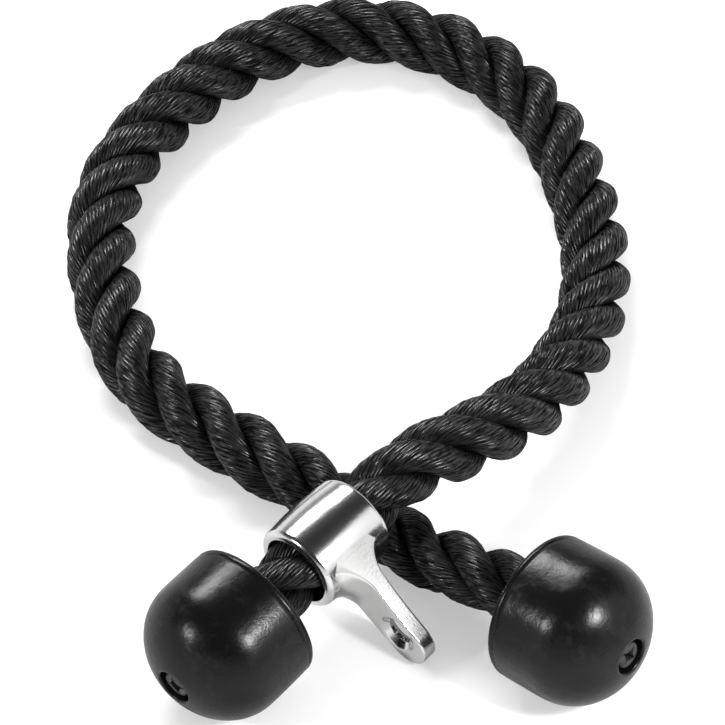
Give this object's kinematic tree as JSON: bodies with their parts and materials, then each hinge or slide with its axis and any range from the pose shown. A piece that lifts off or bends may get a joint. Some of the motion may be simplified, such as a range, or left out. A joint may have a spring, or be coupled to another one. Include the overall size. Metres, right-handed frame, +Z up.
{
  "type": "triceps rope attachment",
  "caption": "Thick laid rope with a rubber stopper at each end and a steel hanger sleeve, whose lug clips to a cable machine.",
  "frame": {"origin": "on the surface that the part lies on, under the middle of the box round the two stoppers and the hanger sleeve", "axes": "+Z up; +X along the left end's rope in plan, from its stopper towards the loop; +Y along the right end's rope in plan, from its stopper towards the loop"},
  "size_m": [0.3885, 0.3888, 0.0651],
  "materials": {
    "rope": "glossy black multifilament, laid in strands",
    "stopper_rubber": "satin black moulded rubber",
    "ferrule_steel": "zinc plated",
    "whipping_twine": "waxed twine",
    "plug_nylon": "plain nylon",
    "washer_steel": "dark zinc plated",
    "screw_steel": "blackened steel",
    "sleeve_chrome": "polished chrome plate"
  },
  "bodies": {
    "rope_loop": {"rope_loop": "rope"},
    "left_end": {"left_rope_tail": "rope", "left_rubber_stopper": "stopper_rubber", "left_rope_ferrule": "ferrule_steel", "left_rope_whipping": "whipping_twine", "left_core_plug": "plug_nylon", "left_screw_washer": "washer_steel", "left_retaining_screw": "screw_steel"},
    "right_end": {"right_rope_tail": "rope", "right_rubber_stopper": "stopper_rubber", "right_rope_ferrule": "ferrule_steel", "right_rope_whipping": "whipping_twine", "right_core_plug": "plug_nylon", "right_screw_washer": "washer_steel", "right_retaining_screw": "screw_steel"},
    "sleeve": {"hanger_sleeve": "sleeve_chrome"}
  },
  "joints": [
    {"name": "left_end_twist", "type": "hinge", "parent": "rope_loop", "child": "left_end", "pos_m": [-0.0299, 0.0491, 0.03406], "axis": [0.9938, 0, 0.1115], "range_deg": [-60, 60]},
    {"name": "right_end_twist", "type": "hinge", "parent": "rope_loop", "child": "right_end", "pos_m": [0.048, -0.0312, 0.03103], "axis": [0, 0.9936, -0.1132], "range_deg": [-60, 60]},
    {"name": "sleeve_slide", "type": "slide", "parent": "left_end", "child": "sleeve", "axis": [0.9938, 0, 0.1115], "range_m": [-0.0216, 0.006]}
  ]
}
